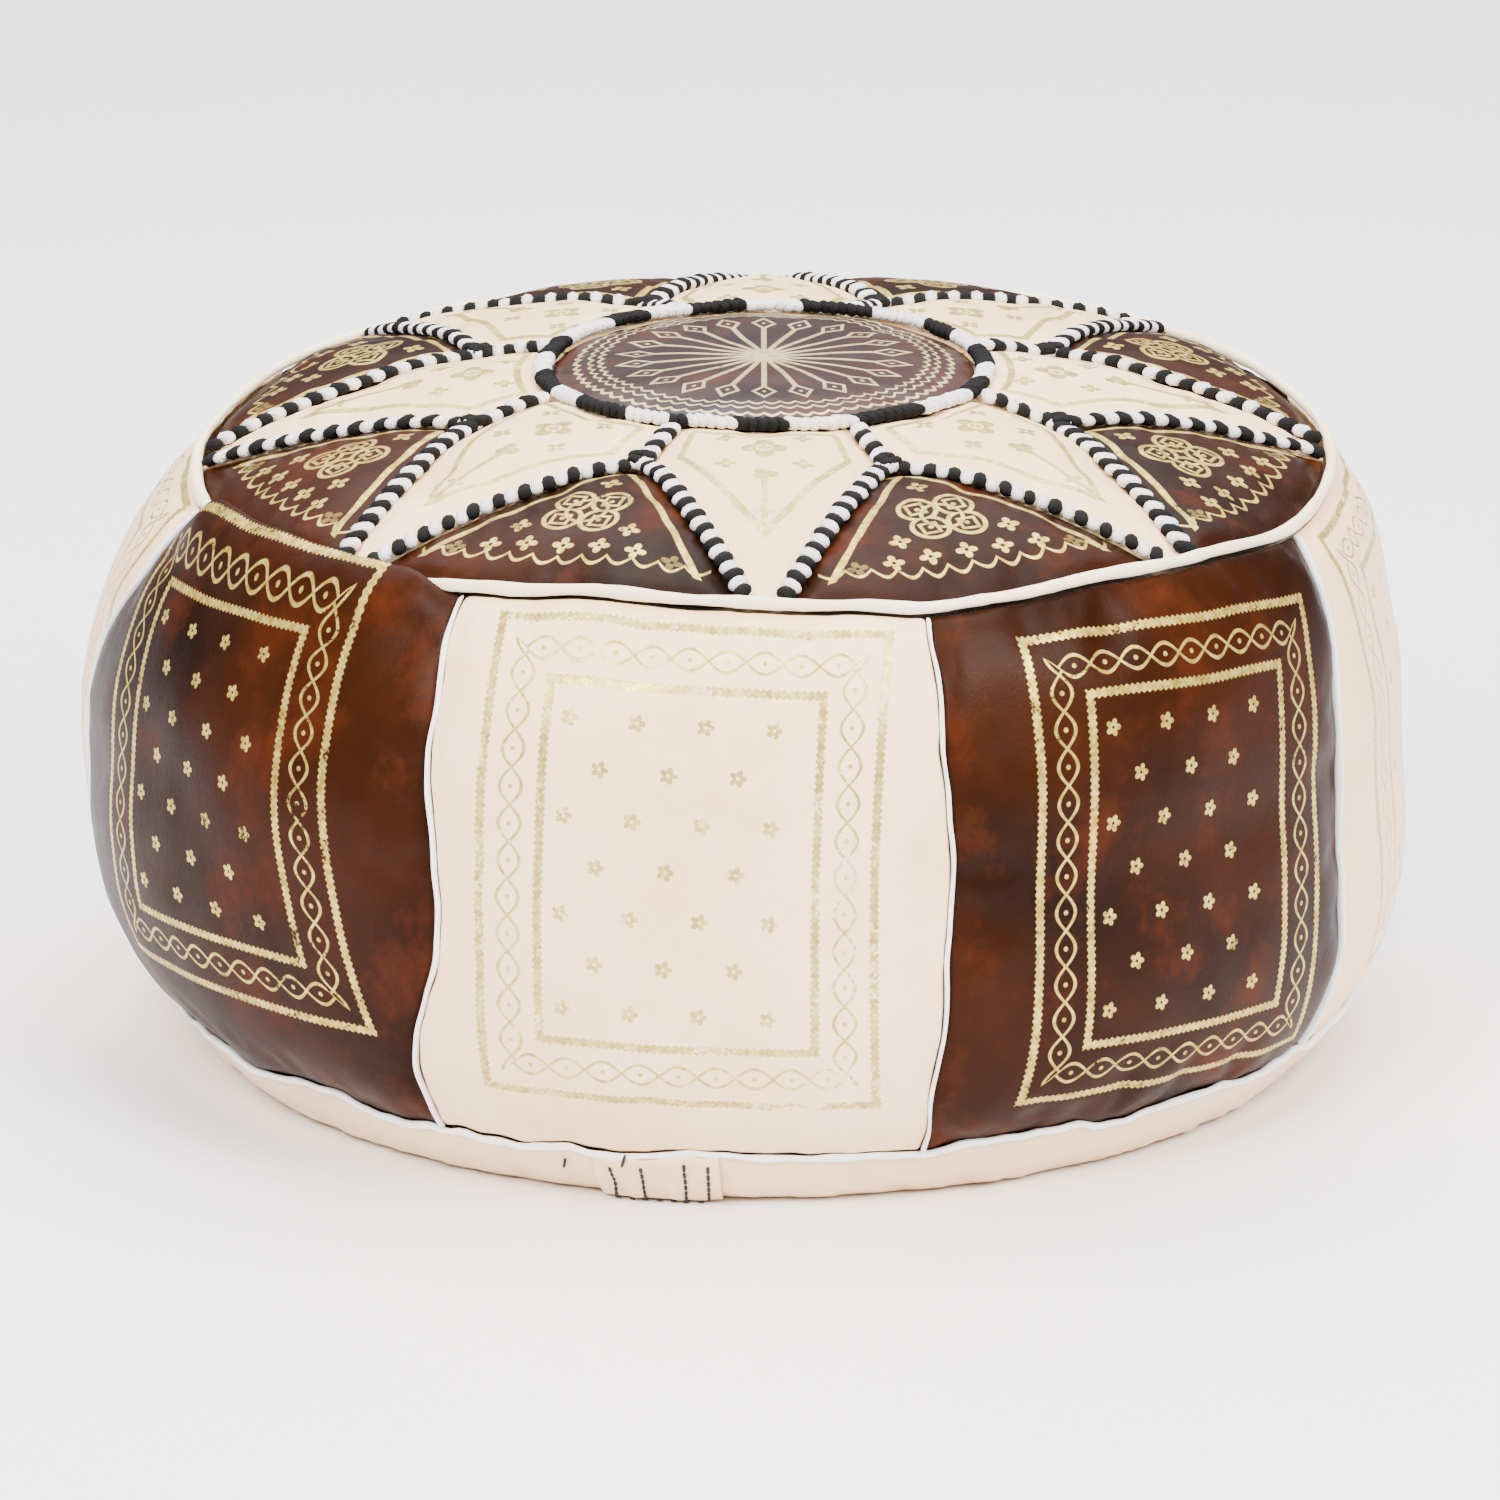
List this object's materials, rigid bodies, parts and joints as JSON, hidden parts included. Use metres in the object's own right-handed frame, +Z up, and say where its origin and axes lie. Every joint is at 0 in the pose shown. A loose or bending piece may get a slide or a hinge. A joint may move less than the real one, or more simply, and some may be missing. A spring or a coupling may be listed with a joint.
{
  "type": "floor pouf",
  "caption": "Round stuffed leather floor pouf with a laced star on its domed top, alternating brown and cream gold-stamped side panels, and a zipped base.",
  "frame": {"origin": "on the floor under the middle of the drum", "axes": "+Z up through the medallion; -Y to the front, where the cream panel with the base patch under it faces; +X to the right, towards the closed end of the zip"},
  "size_m": [0.565, 0.565, 0.296],
  "materials": {
    "cream_leather": "satin, undyed goatskin with worn gold stamping",
    "brown_leather": "semi-gloss, hand-dyed goatskin with gold stamping",
    "white_welt": "matt",
    "cream_piping": "satin",
    "lacing_thread": "matt, alternately black and white thread",
    "black_thread": "matt",
    "zip_tape": "matt woven",
    "zip_metal": "polished",
    "bag_cloth": "matt cotton",
    "stuffing": "matt fibre"
  },
  "bodies": {
    "pouf": {"medallion": "brown_leather", "kite_1": "cream_leather", "kite_2": "cream_leather", "kite_3": "cream_leather", "kite_4": "cream_leather", "kite_5": "cream_leather", "kite_6": "cream_leather", "kite_7": "cream_leather", "kite_8": "cream_leather", "gore_1": "brown_leather", "gore_2": "brown_leather", "gore_3": "brown_leather", "gore_4": "brown_leather", "gore_5": "brown_leather", "gore_6": "brown_leather", "gore_7": "brown_leather", "gore_8": "brown_leather", "side_panel_1": "brown_leather", "side_panel_2": "cream_leather", "side_panel_3": "brown_leather", "side_panel_4": "cream_leather", "side_panel_5": "brown_leather", "side_panel_6": "cream_leather", "side_panel_7": "brown_leather", "side_panel_8": "cream_leather", "side_welt_1": "white_welt", "side_welt_2": "white_welt", "side_welt_3": "white_welt", "side_welt_4": "white_welt", "side_welt_5": "white_welt", "side_welt_6": "white_welt", "side_welt_7": "white_welt", "side_welt_8": "white_welt", "star_lacing_1": "lacing_thread", "star_lacing_2": "lacing_thread", "star_lacing_3": "lacing_thread", "star_lacing_4": "lacing_thread", "star_lacing_5": "lacing_thread", "star_lacing_6": "lacing_thread", "star_lacing_7": "lacing_thread", "star_lacing_8": "lacing_thread", "ring_lacing": "lacing_thread", "rim_piping": "cream_piping", "base_welt": "white_welt", "base_front": "cream_leather", "base_back": "cream_leather", "edge_patch": "cream_leather", "patch_stitches": "black_thread", "zip_tape_front": "zip_tape", "zip_tape_back": "zip_tape", "zip_teeth_front": "zip_metal", "zip_teeth_back": "zip_metal", "zip_stops": "zip_metal", "inner_bag_upper": "bag_cloth", "inner_bag_lower": "bag_cloth", "stuffing": "stuffing"},
    "slider": {"zip_slider": "zip_metal"},
    "pull": {"zip_pull": "zip_metal"}
  },
  "joints": [
    {"name": "zip_slide", "type": "slide", "parent": "pouf", "child": "slider", "axis": [-1, 0, 0], "range_m": [0, 0.284], "deforming": ["zip_teeth_front", "zip_teeth_back"]},
    {"name": "zip_pull_hinge", "type": "hinge", "parent": "slider", "child": "pull", "pos_m": [0.1344, 0, 0.0019], "axis": [0, -1, 0], "range_deg": [0, 140]}
  ]
}
